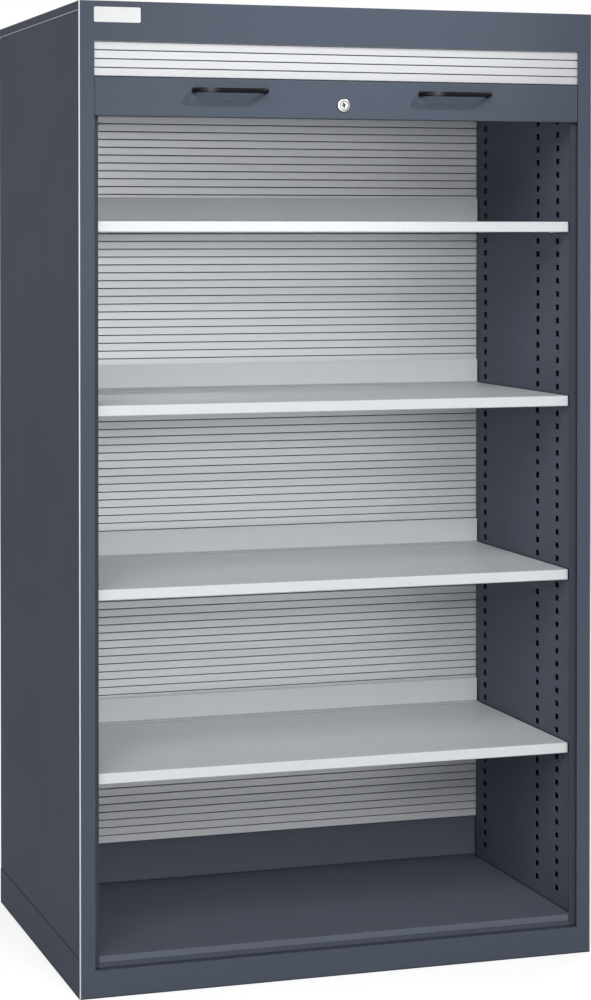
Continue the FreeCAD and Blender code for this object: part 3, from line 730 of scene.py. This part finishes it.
plate_coat, tree, shader, place = new_finish("plate_white", roughness=0.32)
tone = noise(tree, place, scale=60.0, detail=3.0)
sheen = noise(tree, place, scale=700.0, detail=1.0)
set_inputs(tree, shader, {"Base Color": shades(tree, tone, PLATE_DULL, PLATE_WHITE),
                          "Normal": bumped(tree, sheen, strength=0.05, distance=0.0003)})
plate_low, plate_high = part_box("label_plate")
bpy.ops.mesh.primitive_cube_add(size=1, location=(plate_low + plate_high) / 2)
bpy.context.object.scale = plate_high - plate_low
plate = start_piece("blank_plate")
choose(plate, "EDGE", lambda edge: along(edge, 1))
bpy.ops.mesh.bevel(offset=PLATE_CORNER, segments=6, affect="EDGES")
choose(plate, "FACE", lambda face: face.normal.y < -0.9)
bpy.ops.mesh.inset(thickness=PLATE_MARGIN)
finish_piece(plate, plate_coat)
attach(plate, "cabinet")
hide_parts("label_plate")


# ---- Rear panel screws ----------------------------------------------------------------------
# Countersunk cross-head screws, zinc-plated, six down each edge of the back sheet.

SCREW_ROWS = 6
SCREW_SIDES = 32
SCREW_HEAD_RADIUS = 0.004
SCREW_SHANK_RADIUS = 0.0022
SCREW_HEAD_HEIGHT = 0.0015
SCREW_RIM = 0.0001
CROSS_WIDTH = 0.0011
CROSS_LENGTH = 0.0026
CROSS_ARM = 0.0017

screws_low, screws_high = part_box("rear_panel_screws")
screw_length = screws_high.y - screws_low.y
screw = turned_piece("rear_screw", SCREW_SIDES, [
    (SCREW_SHANK_RADIUS, 0), (SCREW_SHANK_RADIUS, screw_length - SCREW_HEAD_HEIGHT),
    (SCREW_HEAD_RADIUS, screw_length - SCREW_RIM), (SCREW_HEAD_RADIUS, screw_length)],
    Matrix.Rotation(-math.pi / 2, 4, "X"))
finish_piece(screw, zinc)
bpy.ops.mesh.primitive_cube_add(size=1, location=(0, screw_length, 0))
bpy.context.object.scale = (CROSS_WIDTH, CROSS_LENGTH, CROSS_WIDTH)
cross = start_piece("cross")
choose(cross, "FACE", lambda face: abs(face.normal.y) < 0.1)
bpy.ops.mesh.extrude_faces_move(TRANSFORM_OT_shrink_fatten={"value": CROSS_ARM})
finish_piece(cross, zinc)
cut_away(screw, cross)
first_z = screws_low.z + SCREW_HEAD_RADIUS
last_z = screws_high.z - SCREW_HEAD_RADIUS
rear_screws = joined_copies(screw, "rear_cross_screws", [
    Matrix.Translation((x, screws_low.y, first_z + (last_z - first_z) * row / (SCREW_ROWS - 1)))
    for x in (screws_low.x + SCREW_HEAD_RADIUS, screws_high.x - SCREW_HEAD_RADIUS)
    for row in range(SCREW_ROWS)])
bpy.data.objects.remove(screw)
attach(rear_screws, "cabinet")
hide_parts("rear_panel_screws")


# ---- Floor ----------------------------------------------------------------------------------
# A plain pale floor that shows white to the camera and in reflections, and keeps the shadow.

FLOOR_SIZE = 40
FLOOR_COLOUR = (0.70, 0.70, 0.70, 1)
FLOOR_GLOW = 0.6
WHITE = (1, 1, 1, 1)


def seen_directly(tree):
    """1 on rays from the camera, a mirror or glass, and 0 on the rays that light the object."""
    rays = shader_node(tree, "LightPath").outputs
    seen = maths(tree, "MAXIMUM", rays["Is Camera Ray"], rays["Is Glossy Ray"])
    return maths(tree, "MAXIMUM", seen, rays["Is Transmission Ray"])


bpy.ops.mesh.primitive_plane_add(size=FLOOR_SIZE)
floor = bpy.context.object
floor.name = floor.data.name = "studio_floor"
floor_paint, tree, shader, place = new_finish("pale_floor", roughness=0.9, specular=0.1)
set_inputs(tree, shader, {
    "Base Color": FLOOR_COLOUR, "Emission Color": WHITE,
    "Emission Strength": ranged(tree, seen_directly(tree), 0.0, FLOOR_GLOW)})
floor.data.materials.append(floor_paint)
floor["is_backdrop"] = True


# ---- Light ----------------------------------------------------------------------------------
# A pale room and seven lamps: a high one and a weak low one on the left, two in front that reach
# behind the shelves, one for the left side, one for the right side and the back, and a small one
# for the handles' shadows.

ROOM_LIGHT, ROOM_SEEN = 0.10, 1.0

world = bpy.data.worlds.new("studio")
bpy.context.scene.world = world
world.use_nodes = True
tree = world.node_tree
tree.nodes.clear()
room = shader_node(tree, "Background", {"Color": WHITE, "Strength": ROOM_LIGHT})
white = shader_node(tree, "Background", {"Color": WHITE, "Strength": ROOM_SEEN})
both = shader_node(tree, "MixShader", {0: seen_directly(tree), 1: room.outputs[0],
                                       2: white.outputs[0]})
shader_node(tree, "OutputWorld", {"Surface": both.outputs[0]})


def aim_lamp(name, aim, power):
    """Names the lamp just added, turns it towards a point and sets its power."""
    lamp = bpy.context.object
    lamp.name = name
    lamp.rotation_euler = (Vector(aim) - lamp.location).to_track_quat("-Z", "Y").to_euler()
    lamp.data.energy = power
    return lamp.data


def soft_lamp(name, place, aim, size, power):
    """A rectangular lamp at a place, turned towards a point."""
    bpy.ops.object.light_add(type="AREA", location=place)
    lamp = aim_lamp(name, aim, power)
    lamp.shape = "RECTANGLE"
    lamp.size, lamp.size_y = size


soft_lamp("high_left", (-2.1, -3.9, 4.4), (0, -0.1, 0.9), (3.2, 2.6), 100)
soft_lamp("front_near", (-0.3, -3.5, 1.62), (0, 0, 1.0), (1.6, 0.4), 25)
soft_lamp("front_high", (-0.6, -6.4, 3.9), (0, 0, 0.9), (3.0, 1.6), 138)
soft_lamp("low_left", (-1.0, -3.4, 0.3), (0, 0, 0.5), (0.8, 0.4), 9)
soft_lamp("side_left", (-4.0, 0.4, 2.4), (-0.5, 0, 0.9), (2.0, 2.0), 30)
soft_lamp("back_right", (3.5, 3.5, 2.8), (0, 0.2, 0.9), (2.4, 2.0), 120)

# The small one is a spot, narrow enough to stay on the header and the end rail.
SPOT_PLACE, SPOT_AIM = (2.5, -3.0, 4.2), (0.0, -0.36, 1.74)
SPOT_ANGLE, SPOT_RADIUS, SPOT_POWER = 11.5, 0.045, 410

bpy.ops.object.light_add(type="SPOT", location=SPOT_PLACE)
spot = aim_lamp("handle_key", SPOT_AIM, SPOT_POWER)
spot.spot_size = math.radians(SPOT_ANGLE)
spot.spot_blend = 1.0
spot.shadow_soft_size = SPOT_RADIUS

size = {"cad": [list(corner) for corner in cad_box],
        "visual": [list(corner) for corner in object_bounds()]}
